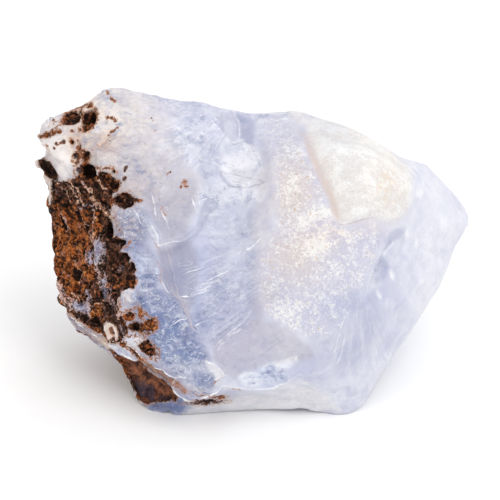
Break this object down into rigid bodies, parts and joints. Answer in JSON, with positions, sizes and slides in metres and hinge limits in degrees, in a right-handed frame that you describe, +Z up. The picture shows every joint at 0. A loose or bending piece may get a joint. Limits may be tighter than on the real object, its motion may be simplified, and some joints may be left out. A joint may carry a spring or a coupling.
{
  "type": "rough chalcedony specimen",
  "caption": "Broken lump of pale blue chalcedony with a sugary crust, a smooth cream lobe and a rusty, pitted matrix along one side, resting on a flat underside.",
  "frame": {"origin": "middle of the bounding box's bottom, on the plane the stone rests on", "axes": "+X across the stone's length towards its thin right-hand edge, +Z up, -Y towards the broken face that shows the scars and the crust"},
  "size_m": [0.0608, 0.0366, 0.0388],
  "materials": {
    "chalcedony": "waxy translucent, part sugary, with matte rust-brown matrix on one side"
  },
  "bodies": {
    "root": {"chalcedony": "chalcedony"}
  },
  "joints": []
}
